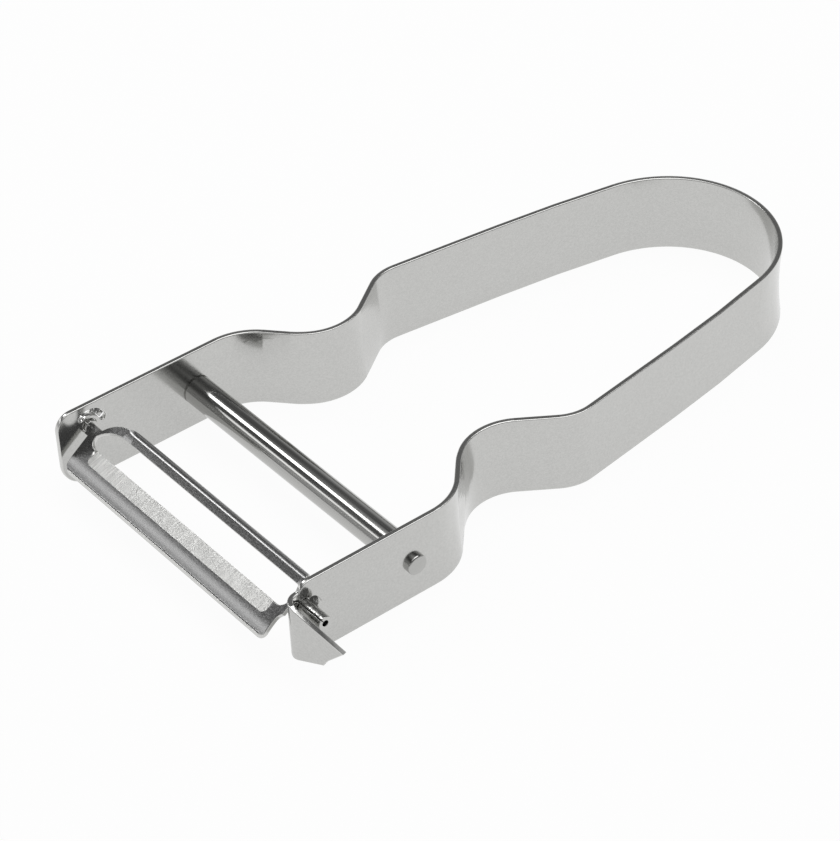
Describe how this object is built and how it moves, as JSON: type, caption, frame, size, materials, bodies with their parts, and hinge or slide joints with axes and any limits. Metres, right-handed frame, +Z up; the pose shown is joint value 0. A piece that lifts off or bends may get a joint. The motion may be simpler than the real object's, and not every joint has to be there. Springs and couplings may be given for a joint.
{
  "type": "vegetable peeler",
  "caption": "Steel strap peeler: bent strip handle with waist, swivelling slotted blade across its open end, crossbar behind it, pointed eye remover at one side.",
  "frame": {"origin": "middle of the handle loop's end, on the strip's middle line and on the lower edge that the peeler lies on", "axes": "+Y from the blade towards the handle loop, so the blade and the working end are at -Y; +X towards the arm with the eye remover; +Z up"},
  "size_m": [0.0671, 0.1197, 0.014],
  "materials": {
    "strip_steel": "satin",
    "blade_steel": "satin, with a bright ground bevel",
    "bar_steel": "polished"
  },
  "bodies": {
    "handle": {"strap_handle": "strip_steel", "crossbar": "bar_steel"},
    "blade": {"swivel_blade": "blade_steel"}
  },
  "joints": [
    {"name": "blade_swivel", "type": "hinge", "parent": "handle", "child": "blade", "pos_m": [0, -0.1131, 0.0099], "axis": [1, 0, 0], "range_deg": [-16, 84]}
  ]
}
